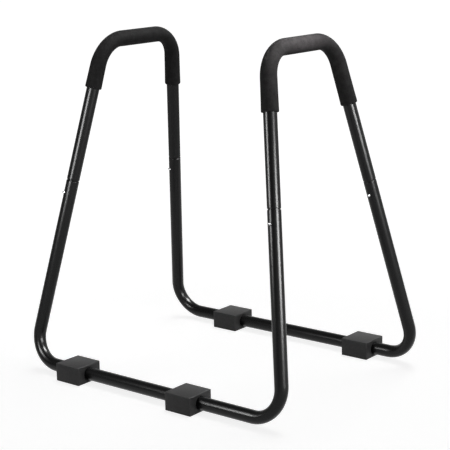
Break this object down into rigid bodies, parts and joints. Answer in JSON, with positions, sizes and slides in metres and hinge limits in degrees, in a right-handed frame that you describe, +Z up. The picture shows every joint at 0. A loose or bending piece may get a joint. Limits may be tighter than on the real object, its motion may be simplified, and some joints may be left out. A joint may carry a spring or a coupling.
{
  "type": "dip station",
  "caption": "Free-standing dip station: two foam-padded inverted-U handles plugged into U-shaped base tubes on sliding rubber feet, held by spring buttons.",
  "frame": {"origin": "centre of the floor area under the four feet", "axes": "+Z up, +X to the right along the base bars, +Y from the front base bar to the rear one, along the handles"},
  "size_m": [0.7938, 0.643, 0.8435],
  "materials": {
    "black_paint": "gloss",
    "foam": "matte",
    "foot_rubber": "matte",
    "plated_steel": "polished",
    "spring_steel": "satin"
  },
  "bodies": {
    "frame": {"base_tube_front": "black_paint", "base_tube_rear": "black_paint", "handle_tube_left": "black_paint", "handle_tube_right": "black_paint", "foam_grip_left": "foam", "foam_grip_right": "foam", "button_spring_front_left": "spring_steel", "button_spring_front_right": "spring_steel", "button_spring_rear_left": "spring_steel", "button_spring_rear_right": "spring_steel"},
    "button_front_left": {"snap_button_front_left": "plated_steel"},
    "button_front_right": {"snap_button_front_right": "plated_steel"},
    "button_rear_left": {"snap_button_rear_left": "plated_steel"},
    "button_rear_right": {"snap_button_rear_right": "plated_steel"},
    "foot_block_front_left": {"foot_front_left": "foot_rubber"},
    "foot_block_front_right": {"foot_front_right": "foot_rubber"},
    "foot_block_rear_left": {"foot_rear_left": "foot_rubber"},
    "foot_block_rear_right": {"foot_rear_right": "foot_rubber"}
  },
  "joints": [
    {"name": "press_front_left", "type": "slide", "parent": "frame", "child": "button_front_left", "axis": [0.3368, 0.9108, -0.2386], "range_m": [0, 0.0069], "stiffness_N_per_m": 2000, "springref_m": -0.003, "deforming": ["button_spring_front_left"]},
    {"name": "press_front_right", "type": "slide", "parent": "frame", "child": "button_front_right", "axis": [0, 0.9814, -0.1919], "range_m": [0, 0.0069], "stiffness_N_per_m": 2000, "springref_m": -0.003, "deforming": ["button_spring_front_right"]},
    {"name": "press_rear_left", "type": "slide", "parent": "frame", "child": "button_rear_left", "axis": [0.3368, 0.9336, 0.1221], "range_m": [0, 0.0069], "stiffness_N_per_m": 2000, "springref_m": -0.003, "deforming": ["button_spring_rear_left"]},
    {"name": "press_rear_right", "type": "slide", "parent": "frame", "child": "button_rear_right", "axis": [0, 0.9814, 0.1919], "range_m": [0, 0.0069], "stiffness_N_per_m": 2000, "springref_m": -0.003, "deforming": ["button_spring_rear_right"]},
    {"name": "slide_foot_front_left", "type": "slide", "parent": "frame", "child": "foot_block_front_left", "axis": [1, 0, 0], "range_m": [-0.0349, 0.1966]},
    {"name": "slide_foot_front_right", "type": "slide", "parent": "frame", "child": "foot_block_front_right", "axis": [1, 0, 0], "range_m": [-0.0812, 0.1502]},
    {"name": "slide_foot_rear_left", "type": "slide", "parent": "frame", "child": "foot_block_rear_left", "axis": [1, 0, 0], "range_m": [-0.0757, 0.1558]},
    {"name": "slide_foot_rear_right", "type": "slide", "parent": "frame", "child": "foot_block_rear_right", "axis": [1, 0, 0], "range_m": [-0.1915, 0.04]}
  ]
}
